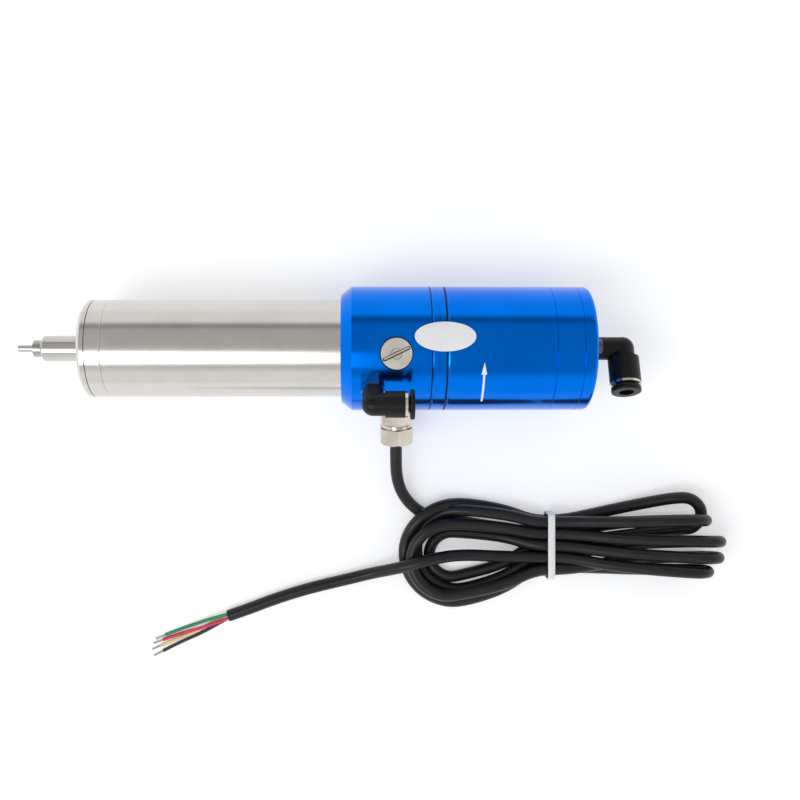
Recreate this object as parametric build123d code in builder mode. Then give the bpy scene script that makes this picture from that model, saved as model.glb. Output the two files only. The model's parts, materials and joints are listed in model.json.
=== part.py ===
from build123d import *
from math import cos, pi, radians, sin, sqrt, tan
import os

os.makedirs("parts", exist_ok=True)

# A pneumatic-release motor spindle: a steel clamp barrel with the motor and its bearings, and behind it
# an anodised rear housing with the air cylinder that opens the collet. Millimetres and degrees.
# X runs along the spindle axis from the tool to the rear, Z is up, and the origin is the middle of the
# clamp barrel. Port angles are counted about the axis from +Z towards -Y.

# ---------------------------------------------------------------------------- driving dimensions
# Clamp barrel and front end
barrel_radius = 20.0
barrel_length = 94.6
barrel_wall = 3.0
barrel_spigot_length = 10.0
barrel_spigot_step = 1.5
barrel_seat_depth = 1.0
barrel_seat_step = 0.3
barrel_seat_mouth = 0.3
seam_chamfer = 0.2
front_flange_length = 6.2
front_cap_length = 3.2
front_cap_chamfer = 1.4
front_cap_spigot_length = 2.0
spanner_hole_radius = 1.2
spanner_hole_depth = 1.8
spanner_hole_circle = 14.0
spanner_hole_count = 4
labyrinth_clearance = 0.25
shoulder_recess_margin = 0.5
shoulder_clearance = 0.35

# Rear housing: four sections behind the barrel
housing_radius = 25.75
housing_chamfer_length = 4.35
housing_chamfer_height = 3.45
block_length = 35.9
block_cavity_radius = 15.0
cylinder_plate_length = 6.75
plate_spigot_length = 2.0
cylinder_length = 43.2
cylinder_wall = 4.75
head_length = 11.0
end_cap_length = 5.4
end_cap_fillet = 1.9
front_groove_width = 0.6
rear_groove_width = 0.9
groove_depth = 0.8
cap_screw_radius = 1.5
cap_screw_head_radius = 2.75
cap_screw_head_height = 3.0
cap_screw_length = 14.0
cap_screw_edge = 5.75
cap_screw_recess = 1.0
cap_screw_count = 4
cap_screw_clearance = 0.25
cap_screw_socket = 2.5
cap_screw_socket_depth = 1.5
air_hole_radius = 3.0
head_counterbore_depth = 3.0
head_counterbore_clearance = 0.3

# Shaft, bearings and motor
nose_radius = 5.3
nose_length = 18.5
nose_chamfer = 0.9
shaft_radius = 6.0
shaft_shoulder_height = 1.25
shaft_shoulder_length = 2.8
rear_journal_radius = 5.0
shaft_tail_length = 3.0
bearing_height = 6.0
bearing_width = 6.0
bearing_spacer_length = 2.0
bearing_lip_length = 3.5
bearing_lip_height = 2.5
race_thickness = 2.0
ball_radius = 1.6
ball_count = 7
race_clearance = 0.05
cage_thickness = 1.0
lock_nut_length = 5.0
lock_nut_height = 2.5
rear_bearing_setback = 14.0
preload_spring_length = 1.4
preload_spring_thickness = 0.7
rear_housing_lip = 1.0
rotor_magnet_height = 2.4
magnet_overhang = 1.0
balance_ring_length = 4.0
balance_ring_step = 0.4
slot_opening = 1.2
air_gap = 0.5
winding_clearance = 3.0
winding_overhang = 7.5
winding_insulation = 0.2
tooth_tip_height = 0.8
yoke_thickness = 2.0
tooth_width = 4.0
slot_count = 6
sketch_overlap = 1.0

# Collet, drawbar and tool
shank_radius = 1.5875
shank_exposed = 6.6
shank_length = 26.4
collet_nose_radius = 3.45
collet_nose_length = 3.5
collet_mouth_radius = 4.1
collet_cone_setback = 0.8
collet_fit = 0.1
collet_cone_fit = 0.03
shank_fit = 0.01
drawbar_fit = 0.1
collet_taper_length = 11.0
collet_body_radius = 2.7
collet_length = 29.0
collet_slit_width = 0.5
collet_slit_length = 20.0
collet_slit_count = 3
collet_end_gap = 1.0
shank_end_gap = 1.0
shank_chamfer = 0.2
drawbar_radius = 2.5
drawbar_stud_radius = 1.75
drawbar_stud_length = 6.0
disc_spring_radius = 5.5
disc_spring_thickness = 1.0
disc_spring_cone = 0.95
disc_spring_count = 8
spring_edge_gap = 0.05
spring_bore_clearance = 0.15
release_nut_radius = 6.0
release_nut_length = 7.0
release_nut_chamfer = 0.5
drawbar_end_length = 1.0

# Release piston
release_gap = 1.05
piston_stroke = 2.5
piston_rod_radius = 5.0
piston_thickness = 7.0
piston_clearance = 0.05
piston_seal_width = 3.0
piston_seal_depth = 2.5
piston_air_radius = 1.5
centre_plate_length = 7.0
chamber_spare = 0.7
chamber_gap = 0.3
piston_rod_clearance = 0.05
seal_width = 2.4
seal_depth = 1.6
return_spring_length = 8.0
return_spring_thickness = 1.5
return_spring_count = 2
return_spring_margin = 1.5

# Fitted ports on the connection block, from its front face
spotface_margin = 0.4
port_overrun = 3.0
plug_station = 22.0
plug_angle = 7.2
plug_radius = 6.4
plug_gap = 0.4
plug_recess = 0.4
plug_head_length = 3.1
plug_end_setback = 1.0
plug_thread_radius = 5.0
plug_washer_thickness = 0.5
plug_slot_width = 1.55
plug_slot_length = 12.0
plug_slot_depth = 1.3
plug_slot_turn = 26.0
plug_dimple_radius = 2.25
plug_dimple_depth = 0.35
gland_station = 23.0
gland_angle = 106.0
gland_turn = 26.0
gland_hex = 13.0
gland_hex_length = 6.7
gland_neck_length = 0.4
gland_collar_length = 1.4
gland_nut_gap = 0.2
gland_nut_length = 7.4
gland_nut_bore_length = 4.44
gland_neck_gap = 0.5
gland_nut_hex = 13.4
gland_nut_round = 2.2
gland_thread_radius = 6.0
gland_washer_thickness = 1.0
gland_seal_length = 5.0
gland_thread_length = 8.0
gland_neck_radius = 5.6
gland_bore_radius = 4.2
cord_hole_clearance = 0.3

# Front elbow: 4 mm push-in tube fitting on an M5 stud
front_elbow_station = 12.7
front_elbow_angle = 36.0
front_stud_hex = 8.0
front_stud_hex_length = 5.5
front_stud_thread_radius = 2.5
front_stud_thread_length = 5.0
front_stud_air_radius = 1.0
front_stud_journal_radius = 2.6
front_leg_height = 13.7
front_body_length = 12.3
front_leg_radius = 5.2
front_neck_radius = 4.5
front_boss_radius = 4.3
front_step = 4.7
front_tube_radius = 2.05
front_tube_depth = 5.8
front_collar_radius = 5.9
front_collar_length = 1.8

# Rear elbow: 6 mm push-in tube fitting on a G1/8 stud
rear_stud_hex = 12.0
rear_stud_hex_length = 3.2
rear_stud_thread_radius = 4.9
rear_stud_thread_length = 7.0
rear_stud_air_radius = 2.0
rear_stud_journal_radius = 3.4
rear_leg_height = 15.9
rear_body_length = 15.5
rear_leg_radius = 6.5
rear_neck_radius = 4.9
rear_boss_radius = 4.85
rear_step = 4.6
rear_leg_tilt = 20.0
rear_tube_radius = 3.05
rear_tube_depth = 8.0
rear_collar_radius = 6.2
rear_collar_length = 2.3

# Details that both elbows share
swivel_gap = 0.3
swivel_clearance = 0.05
collar_travel = 0.8
collar_gap = 0.1
collar_clearance = 0.1
collar_neck_wall = 1.0
collar_reach = 3.1
collar_end_gap = 0.3
collar_round = 0.5
end_ring_length = 1.0
end_ring_setback = 0.15
air_passage_radius = 1.2
passage_wall = 0.8

# Cord, laid on the floor that the rear housing rests on
cord_radius = 2.6
hank_height = 10.8
hank_corner = 8.0
tie_width = 3.0
tie_thickness = 0.9
core_radius = 0.75
cord_straight_length = 5.0
corner_share = 0.45
tie_station = 142.6
tie_edges = (-71.3, -101.0)

# ---------------------------------------------------------------------------- stations and radii
clamp_length = front_cap_length - front_cap_chamfer + front_flange_length + barrel_length
barrel_rear = clamp_length / 2
barrel_front = barrel_rear - barrel_length
flange_front = barrel_front - front_flange_length
cap_front = flange_front - front_cap_length
shaft_front = cap_front - nose_length
collet_front = shaft_front - collet_nose_length
shank_front = collet_front - shank_exposed
barrel_bore = barrel_radius - barrel_wall
barrel_spigot_radius = barrel_radius - barrel_spigot_step
barrel_seat = barrel_rear + barrel_seat_depth
barrel_seat_radius = barrel_radius - barrel_seat_step
spigot_rear = barrel_rear + barrel_spigot_length

block_rear = barrel_rear + block_length
plate_rear = block_rear + cylinder_plate_length
cylinder_rear = plate_rear + cylinder_length
head_rear = cylinder_rear + head_length
end_rear = head_rear + end_cap_length
floor_level = -housing_radius
cylinder_bore_radius = housing_radius - cylinder_wall
cap_screw_circle = housing_radius - cap_screw_edge

front_bearing_radius = shaft_radius + bearing_height
rear_bearing_radius = rear_journal_radius + bearing_height
front_bearing_1 = flange_front + front_cap_spigot_length
front_bearing_2 = front_bearing_1 + bearing_width + bearing_spacer_length
front_bearings_rear = front_bearing_2 + bearing_width
shoulder_front = front_bearing_1 - shaft_shoulder_length
cup_rear = front_bearings_rear + bearing_lip_length
rear_bearing_front = barrel_rear - rear_bearing_setback
rear_bearing_rear = rear_bearing_front + bearing_width
rear_housing_front = rear_bearing_front - preload_spring_length - rear_housing_lip
shaft_rear = barrel_rear + shaft_tail_length
shoulder_radius = shaft_radius + shaft_shoulder_height

rotor_radius = shaft_radius + rotor_magnet_height
stator_bore = rotor_radius + air_gap
slot_inner = stator_bore + tooth_tip_height
slot_outer = barrel_bore - yoke_thickness
winding_front = cup_rear + winding_clearance
winding_rear = rear_housing_front - winding_clearance
stator_front = winding_front + winding_overhang
stator_rear = winding_rear - winding_overhang

shank_rear = shank_front + shank_length
collet_rear = collet_front + collet_length
collet_bore_rear = collet_rear + collet_end_gap
taper_rear = shaft_front + collet_taper_length
stud_front = collet_rear - drawbar_stud_length
disc_spring_pitch = disc_spring_thickness + disc_spring_cone
stack_rear = shaft_rear + disc_spring_count * disc_spring_pitch
nut_rear = stack_rear + release_nut_length
drawbar_rear = nut_rear + drawbar_end_length

plate_inner = plate_rear + plate_spigot_length
front_piston_front = plate_inner + return_spring_length
front_piston_rear = front_piston_front + piston_thickness
centre_plate_front = front_piston_rear + chamber_gap
centre_plate_rear = centre_plate_front + centre_plate_length
rear_piston_front = centre_plate_rear + piston_stroke + chamber_spare
rear_piston_rear = rear_piston_front + piston_thickness
head_inner = rear_piston_rear + chamber_gap
pusher_front = drawbar_rear + release_gap
piston_radius = cylinder_bore_radius - piston_clearance
inside = block_cavity_radius - port_overrun
outside = housing_radius + port_overrun


# ---------------------------------------------------------------------------- helpers
def band(x_start, x_end, r_inner, r_outer, mode=Mode.ADD):
    """One rectangle of a turned section: X along the axis, Y the radius."""
    with Locations(((x_start + x_end) / 2, (r_inner + r_outer) / 2)):
        Rectangle(x_end - x_start, r_outer - r_inner, mode=mode)


def outline(*points, mode=Mode.ADD):
    """A closed straight-sided face of a sketch, with its corners where they stand."""
    Polygon(*points, align=None, mode=mode)


def port_plane(station, angle, radius=0.0):
    """A plane square to a port of the rear housing, with its Z pointing out and its X to the rear."""
    outward = Vector(0, -sin(radians(angle)), cos(radians(angle)))
    return Plane(origin=Vector(station, 0, 0) + outward * radius, x_dir=(1, 0, 0), z_dir=outward)


def hexagon(across_flats, turn=0.0):
    RegularPolygon(radius=across_flats / 2, side_count=6, major_radius=False, rotation=turn)


# ---------------------------------------------------------------------------- front end and barrel
with BuildPart() as front_cap:
    with BuildSketch(Plane.XY):
        band(cap_front, flange_front, nose_radius + labyrinth_clearance, barrel_radius)
        band(flange_front, front_bearing_1, front_bearing_radius - bearing_lip_height,
             front_bearing_radius)
        recess_front = shoulder_front - shoulder_recess_margin
        band(recess_front, flange_front, 0, shoulder_radius + shoulder_clearance, mode=Mode.SUBTRACT)
    revolve(axis=Axis.X)
    rim = front_cap.edges().filter_by(GeomType.CIRCLE).group_by(Axis.X)[0].sort_by(SortBy.RADIUS)[-1]
    chamfer(rim, front_cap_chamfer)
    with BuildSketch(Plane.YZ.offset(cap_front)):
        with PolarLocations(spanner_hole_circle, spanner_hole_count):
            Circle(spanner_hole_radius)
    extrude(amount=spanner_hole_depth, mode=Mode.SUBTRACT)

with BuildPart() as front_bearing_housing:
    with BuildSketch(Plane.XY):
        band(flange_front, barrel_front, front_bearing_radius, barrel_radius)
        band(barrel_front, front_bearings_rear, front_bearing_radius, barrel_bore)
        band(front_bearings_rear, cup_rear, front_bearing_radius - bearing_lip_height, barrel_bore)
    revolve(axis=Axis.X)
    flange_rims = front_bearing_housing.edges().filter_by(GeomType.CIRCLE).group_by(SortBy.RADIUS)[-1]
    chamfer(flange_rims, seam_chamfer)

with BuildPart() as barrel_sleeve:
    with BuildSketch(Plane.XY):
        band(barrel_front, barrel_rear, barrel_bore, barrel_radius)
        band(barrel_rear, barrel_seat, barrel_bore, barrel_seat_radius)
        band(barrel_seat, spigot_rear, barrel_bore, barrel_spigot_radius)
    revolve(axis=Axis.X)
    barrel_rims = barrel_sleeve.edges().filter_by(GeomType.CIRCLE).group_by(SortBy.RADIUS)[-1]
    chamfer(barrel_rims.sort_by(Axis.X)[0], seam_chamfer)

with BuildPart() as outer_bearing_spacer:
    with BuildSketch(Plane.XY):
        band(front_bearing_1 + bearing_width, front_bearing_2, front_bearing_radius - race_thickness,
             front_bearing_radius)
    revolve(axis=Axis.X)

with BuildPart() as rear_bearing_housing:
    with BuildSketch(Plane.XY):
        lip_rear = rear_housing_front + rear_housing_lip
        band(rear_housing_front, lip_rear, rear_bearing_radius - bearing_lip_height, barrel_bore)
        band(lip_rear, barrel_rear, rear_bearing_radius, barrel_bore)
    revolve(axis=Axis.X)

with BuildPart() as preload_spring:
    with BuildSketch(Plane.XY):
        spring_inner = rear_bearing_radius - race_thickness
        spring_outer = rear_bearing_radius - spring_bore_clearance
        spring_front = rear_bearing_front - preload_spring_length
        outline((spring_front, spring_inner), (spring_front + preload_spring_thickness, spring_inner),
                (rear_bearing_front, spring_outer),
                (rear_bearing_front - preload_spring_thickness, spring_outer))
    revolve(axis=Axis.X)


# ---------------------------------------------------------------------------- bearings
def race(x_start, r_inner, r_outer, ball_circle):
    """The section of one bearing ring, with its ball groove."""
    band(x_start, x_start + bearing_width, r_inner, r_outer)
    with Locations((x_start + bearing_width / 2, ball_circle)):
        Circle(ball_radius + race_clearance, mode=Mode.SUBTRACT)


def outer_rings(bearing_starts, bore_radius):
    with BuildPart() as rings:
        with BuildSketch(Plane.XY):
            for start in bearing_starts:
                outer = bore_radius + bearing_height
                race(start, outer - race_thickness, outer, bore_radius + bearing_height / 2)
        revolve(axis=Axis.X)
    return rings


def inner_rings(bearing_starts, bore_radius):
    with BuildPart() as rings:
        with BuildSketch(Plane.XY):
            for start in bearing_starts:
                race(start, bore_radius, bore_radius + race_thickness, bore_radius + bearing_height / 2)
        revolve(axis=Axis.X)
    return rings


def balls(bearing_starts, ball_circle):
    with BuildPart() as set_of_balls:
        for start in bearing_starts:
            with Locations(Plane.YZ.offset(start + bearing_width / 2)):
                with PolarLocations(ball_circle, ball_count):
                    Sphere(ball_radius)
    return set_of_balls


def cages(bearing_starts, ball_circle):
    with BuildPart() as set_of_cages:
        for start in bearing_starts:
            middle = start + bearing_width / 2
            half = ball_radius + cage_thickness / 2
            with BuildSketch(Plane.XY):
                band(middle - half, middle + half, ball_circle - cage_thickness / 2,
                     ball_circle + cage_thickness / 2)
            revolve(axis=Axis.X)
            with Locations(Plane.YZ.offset(middle)):
                with PolarLocations(ball_circle, ball_count):
                    Cylinder(ball_radius + race_clearance, 2 * ball_radius, rotation=(0, 90, 0),
                             mode=Mode.SUBTRACT)
    return set_of_cages


front_starts = [front_bearing_1, front_bearing_2]
rear_starts = [rear_bearing_front]
front_ball_circle = shaft_radius + bearing_height / 2
rear_ball_circle = rear_journal_radius + bearing_height / 2
front_outer_rings = outer_rings(front_starts, shaft_radius)
front_inner_rings = inner_rings(front_starts, shaft_radius)
front_balls = balls(front_starts, front_ball_circle)
front_cages = cages(front_starts, front_ball_circle)
rear_outer_ring = outer_rings(rear_starts, rear_journal_radius)
rear_inner_ring = inner_rings(rear_starts, rear_journal_radius)
rear_balls = balls(rear_starts, rear_ball_circle)
rear_cage = cages(rear_starts, rear_ball_circle)

# ---------------------------------------------------------------------------- motor
tooth_length = slot_outer - slot_inner + sketch_overlap
slot_middle = (slot_inner + slot_outer) / 2
with BuildPart() as stator_core:
    with BuildSketch(Plane.YZ.offset(stator_front)):
        Circle(barrel_bore)
        Circle(slot_outer, mode=Mode.SUBTRACT)
        with PolarLocations(slot_middle, slot_count):
            Rectangle(tooth_length, tooth_width)
        Circle(slot_inner)
        Circle(stator_bore, mode=Mode.SUBTRACT)
        with PolarLocations(slot_inner, slot_count, start_angle=180 / slot_count):
            Rectangle(2 * tooth_tip_height + sketch_overlap, slot_opening, mode=Mode.SUBTRACT)
    extrude(amount=stator_rear - stator_front)

with BuildPart() as stator_windings:
    with BuildSketch(Plane.YZ.offset(stator_front - winding_insulation)):
        Circle(slot_outer - winding_insulation)
        Circle(slot_inner + winding_insulation, mode=Mode.SUBTRACT)
        with PolarLocations(slot_middle, slot_count):
            Rectangle(tooth_length, tooth_width + 2 * winding_insulation, mode=Mode.SUBTRACT)
    extrude(amount=stator_rear - stator_front + 2 * winding_insulation)
    with BuildSketch(Plane.XY):
        winding_inner = slot_inner + winding_insulation
        winding_outer = slot_outer - winding_insulation
        band(winding_front, stator_front - winding_insulation, winding_inner, winding_outer)
        band(stator_rear + winding_insulation, winding_rear, winding_inner, winding_outer)
    revolve(axis=Axis.X)

magnet_front = stator_front - magnet_overhang
magnet_rear = stator_rear + magnet_overhang
with BuildPart() as rotor_magnet:
    with BuildSketch(Plane.XY):
        band(magnet_front, magnet_rear, shaft_radius, rotor_radius)
    revolve(axis=Axis.X)

with BuildPart() as balance_rings:
    with BuildSketch(Plane.XY):
        ring_radius = rotor_radius - balance_ring_step
        band(magnet_front - balance_ring_length, magnet_front, shaft_radius, ring_radius)
        band(magnet_rear, magnet_rear + balance_ring_length, shaft_radius, ring_radius)
    revolve(axis=Axis.X)

# ---------------------------------------------------------------------------- shaft, collet and drawbar
with BuildPart() as shaft:
    with BuildSketch(Plane.XY):
        band(shaft_front, shoulder_front, 0, nose_radius)
        band(shoulder_front, front_bearing_1, 0, shoulder_radius)
        band(front_bearing_1, rear_bearing_front, 0, shaft_radius)
        band(rear_bearing_front, shaft_rear, 0, rear_journal_radius)
        outline((shaft_front, 0), (shaft_front, collet_mouth_radius),
                (taper_rear, collet_body_radius + collet_fit), (taper_rear, 0), mode=Mode.SUBTRACT)
        band(taper_rear, collet_bore_rear, 0, collet_body_radius + collet_fit, mode=Mode.SUBTRACT)
        band(collet_bore_rear, shaft_rear, 0, drawbar_radius + drawbar_fit, mode=Mode.SUBTRACT)
    revolve(axis=Axis.X)
    nose_rim = shaft.edges().filter_by(GeomType.CIRCLE).group_by(Axis.X)[0].sort_by(SortBy.RADIUS)[-1]
    chamfer(nose_rim, nose_chamfer)

with BuildPart() as inner_bearing_spacer:
    with BuildSketch(Plane.XY):
        band(front_bearing_1 + bearing_width, front_bearing_2, shaft_radius, shaft_radius + race_thickness)
    revolve(axis=Axis.X)

with BuildPart() as bearing_lock_nuts:
    with BuildSketch(Plane.XY):
        band(front_bearings_rear, front_bearings_rear + lock_nut_length, shaft_radius,
             shaft_radius + lock_nut_height)
        band(rear_bearing_rear, rear_bearing_rear + lock_nut_length, rear_journal_radius,
             rear_journal_radius + lock_nut_height)
    revolve(axis=Axis.X)

cone_front = shaft_front + collet_cone_setback
taper_slope = (collet_mouth_radius - collet_body_radius - collet_fit) / collet_taper_length
cone_radius = collet_mouth_radius - taper_slope * collet_cone_setback - collet_cone_fit
cone_rear_radius = collet_body_radius + collet_fit - collet_cone_fit
with BuildPart() as collet:
    with BuildSketch(Plane.XY):
        band(collet_front, cone_front, 0, collet_nose_radius)
        outline((cone_front, 0), (cone_front, cone_radius), (taper_rear, cone_rear_radius), (taper_rear, 0))
        band(taper_rear, collet_rear, 0, collet_body_radius)
        band(collet_front, shank_rear + shank_end_gap, 0, shank_radius + shank_fit, mode=Mode.SUBTRACT)
        band(stud_front, collet_rear, 0, drawbar_stud_radius, mode=Mode.SUBTRACT)
    revolve(axis=Axis.X)
    with BuildSketch(Plane.YZ.offset(collet_front)):
        with PolarLocations(collet_mouth_radius / 2, collet_slit_count, start_angle=90):
            Rectangle(collet_mouth_radius, collet_slit_width)
    extrude(amount=collet_slit_length, mode=Mode.SUBTRACT)

with BuildPart() as tool_shank:
    with BuildSketch(Plane.XY):
        band(shank_front, shank_rear, 0, shank_radius)
    revolve(axis=Axis.X)
    chamfer(tool_shank.edges().filter_by(GeomType.CIRCLE), shank_chamfer)

with BuildPart() as drawbar:
    with BuildSketch(Plane.XY):
        band(stud_front, collet_rear, 0, drawbar_stud_radius)
        band(collet_rear, drawbar_rear, 0, drawbar_radius)
    revolve(axis=Axis.X)

with BuildPart() as release_nut:
    with BuildSketch(Plane.XY):
        band(stack_rear, nut_rear, drawbar_radius, release_nut_radius)
    revolve(axis=Axis.X)
    nut_rims = release_nut.edges().filter_by(GeomType.CIRCLE).group_by(SortBy.RADIUS)[-1]
    chamfer(nut_rims, release_nut_chamfer)


def coned_discs(start, count, step, thickness, r_inner, r_outer):
    """Coned disc springs, each turned the other way from the one before."""
    cone = step - thickness - spring_edge_gap
    for index in range(count):
        front = start + index * step
        inner_front, outer_front = (front, front + cone) if index % 2 == 0 else (front + cone, front)
        outline((inner_front, r_inner), (inner_front + thickness, r_inner),
                (outer_front + thickness, r_outer), (outer_front, r_outer))


with BuildPart() as disc_springs:
    with BuildSketch(Plane.XY):
        coned_discs(shaft_rear, disc_spring_count, disc_spring_pitch, disc_spring_thickness,
                    drawbar_radius + spring_bore_clearance, disc_spring_radius)
    revolve(axis=Axis.X)

# ---------------------------------------------------------------------------- rear housing
plug_plane = port_plane(barrel_rear + plug_station, plug_angle)
gland_plane = port_plane(barrel_rear + gland_station, gland_angle)
front_elbow_plane = port_plane(barrel_rear + front_elbow_station, front_elbow_angle)
plug_top = housing_radius - plug_recess
plug_seat = plug_top - plug_head_length - plug_washer_thickness
plug_hole_radius = plug_radius + plug_gap
plug_end = block_cavity_radius + plug_end_setback
gland_spot_radius = gland_hex / sqrt(3) + spotface_margin
gland_seat = sqrt(housing_radius**2 - gland_spot_radius**2)
front_spot_radius = front_stud_hex / sqrt(3) + spotface_margin
front_seat = sqrt(housing_radius**2 - front_spot_radius**2)


def port_hole(plane, start, end, radius):
    """A round cut square to a port, between two distances from the spindle axis."""
    with BuildSketch(plane.offset(start)) as hole:
        Circle(radius)
    extrude(hole.sketch, amount=end - start, mode=Mode.SUBTRACT)


with BuildPart() as connection_block:
    with BuildSketch(Plane.XY):
        chamfer_rear = barrel_rear + housing_chamfer_length
        mouth_rear = barrel_rear + barrel_seat_mouth
        outline((barrel_rear, barrel_seat_radius + barrel_seat_mouth),
                (barrel_rear, housing_radius - housing_chamfer_height),
                (chamfer_rear, housing_radius), (block_rear, housing_radius),
                (block_rear, block_cavity_radius), (spigot_rear, block_cavity_radius),
                (spigot_rear, barrel_spigot_radius), (barrel_seat, barrel_spigot_radius),
                (barrel_seat, barrel_seat_radius), (mouth_rear, barrel_seat_radius))
    revolve(axis=Axis.X)
    port_hole(plug_plane, inside, plug_seat, plug_thread_radius)
    port_hole(plug_plane, plug_seat, outside, plug_hole_radius)
    port_hole(gland_plane, inside, gland_seat, gland_thread_radius)
    port_hole(gland_plane, gland_seat, outside, gland_spot_radius)
    port_hole(front_elbow_plane, inside, front_seat, front_stud_thread_radius)
    port_hole(front_elbow_plane, front_seat, outside, front_spot_radius)

with BuildPart() as cylinder_plate:
    with BuildSketch(Plane.XY):
        rod_bore = piston_rod_radius + piston_rod_clearance
        band(block_rear - plate_spigot_length, block_rear, rod_bore, block_cavity_radius)
        band(block_rear, plate_rear, rod_bore, housing_radius - groove_depth)
        band(block_rear + front_groove_width, plate_rear - rear_groove_width, rod_bore, housing_radius)
        band(plate_rear, plate_inner, rod_bore, cylinder_bore_radius)
    revolve(axis=Axis.X)

with BuildPart() as cylinder_body:
    with BuildSketch(Plane.XY):
        band(plate_rear, cylinder_rear, cylinder_bore_radius, housing_radius)
    revolve(axis=Axis.X)
    chamfer(cylinder_body.edges().filter_by(GeomType.CIRCLE).group_by(SortBy.RADIUS)[-1], seam_chamfer)

with BuildPart() as centre_plate:
    with BuildSketch(Plane.XY):
        band(centre_plate_front, centre_plate_rear, rod_bore, cylinder_bore_radius)
        centre_seal = (centre_plate_front + centre_plate_rear) / 2
        band(centre_seal - seal_width / 2, centre_seal + seal_width / 2, cylinder_bore_radius - seal_depth,
             cylinder_bore_radius, mode=Mode.SUBTRACT)
    revolve(axis=Axis.X)

with BuildPart() as cylinder_head:
    with BuildSketch(Plane.XY):
        band(head_inner, cylinder_rear, air_hole_radius, cylinder_bore_radius)
        band(cylinder_rear, head_rear, air_hole_radius, housing_radius)
        head_seal = (head_inner + cylinder_rear) / 2
        band(head_seal - seal_width / 2, head_seal + seal_width / 2, cylinder_bore_radius - seal_depth,
             cylinder_bore_radius, mode=Mode.SUBTRACT)
        band(head_rear - head_counterbore_depth, head_rear, 0,
             rear_stud_thread_radius + head_counterbore_clearance, mode=Mode.SUBTRACT)
    revolve(axis=Axis.X)
    screw_seat = end_rear - cap_screw_recess
    screw_end = screw_seat - cap_screw_length
    with BuildSketch(Plane.YZ.offset(screw_end)):
        with PolarLocations(cap_screw_circle, cap_screw_count):
            Circle(cap_screw_radius)
    extrude(amount=head_rear - screw_end, mode=Mode.SUBTRACT)
    head_rims = cylinder_head.edges().filter_by(GeomType.CIRCLE).group_by(SortBy.RADIUS)[-1]
    chamfer(head_rims, seam_chamfer)

with BuildPart() as cylinder_seals:
    with BuildSketch(Plane.XY):
        for middle in (centre_seal, head_seal):
            band(middle - seal_width / 2, middle + seal_width / 2, cylinder_bore_radius - seal_depth,
                 cylinder_bore_radius)
    revolve(axis=Axis.X)

with BuildPart() as end_cap:
    with BuildSketch(Plane.XY):
        band(head_rear, end_rear, rear_stud_thread_radius, housing_radius)
    revolve(axis=Axis.X)
    cap_rims = end_cap.edges().filter_by(GeomType.CIRCLE).group_by(SortBy.RADIUS)[-1]
    fillet(cap_rims.sort_by(Axis.X)[-1], end_cap_fillet)
    cap_rims = end_cap.edges().filter_by(GeomType.CIRCLE).group_by(SortBy.RADIUS)[-1]
    chamfer(cap_rims.sort_by(Axis.X)[0], seam_chamfer)
    with BuildSketch(Plane.YZ.offset(head_rear)):
        with PolarLocations(cap_screw_circle, cap_screw_count):
            Circle(cap_screw_radius)
    extrude(amount=end_cap_length, mode=Mode.SUBTRACT)
    with BuildSketch(Plane.YZ.offset(screw_seat)):
        with PolarLocations(cap_screw_circle, cap_screw_count):
            Circle(cap_screw_head_radius + cap_screw_clearance)
    extrude(amount=cap_screw_recess, mode=Mode.SUBTRACT)

with BuildPart() as end_cap_screws:
    with BuildSketch(Plane.YZ.offset(screw_end)):
        with PolarLocations(cap_screw_circle, cap_screw_count):
            Circle(cap_screw_radius)
    extrude(amount=cap_screw_length)
    with BuildSketch(Plane.YZ.offset(screw_seat)):
        with PolarLocations(cap_screw_circle, cap_screw_count):
            Circle(cap_screw_head_radius)
    extrude(amount=cap_screw_head_height)
    with BuildSketch(Plane.YZ.offset(screw_seat + cap_screw_head_height)):
        with PolarLocations(cap_screw_circle, cap_screw_count):
            hexagon(cap_screw_socket)
    extrude(amount=-cap_screw_socket_depth, mode=Mode.SUBTRACT)

# ---------------------------------------------------------------------------- release pistons
with BuildPart() as piston_rod:
    with BuildSketch(Plane.XY):
        band(pusher_front, rear_piston_rear, 0, piston_rod_radius)
        band(front_piston_front, rear_piston_rear, 0, piston_air_radius, mode=Mode.SUBTRACT)
    revolve(axis=Axis.X)

piston_middles = [front + piston_thickness / 2 for front in (front_piston_front, rear_piston_front)]
with BuildPart() as release_pistons:
    with BuildSketch(Plane.XY):
        for middle in piston_middles:
            band(middle - piston_thickness / 2, middle + piston_thickness / 2, piston_rod_radius,
                 piston_radius)
            band(middle - piston_seal_width / 2, middle + piston_seal_width / 2,
                 piston_radius - piston_seal_depth, piston_radius, mode=Mode.SUBTRACT)
    revolve(axis=Axis.X)

with BuildPart() as piston_seals:
    with BuildSketch(Plane.XY):
        for middle in piston_middles:
            band(middle - piston_seal_width / 2, middle + piston_seal_width / 2,
                 piston_radius - piston_seal_depth, piston_radius)
    revolve(axis=Axis.X)

with BuildPart() as return_springs:
    with BuildSketch(Plane.XY):
        coned_discs(plate_inner, return_spring_count, return_spring_length / return_spring_count,
                    return_spring_thickness, piston_rod_radius + return_spring_margin,
                    cylinder_bore_radius - return_spring_margin)
    revolve(axis=Axis.X)

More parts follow.
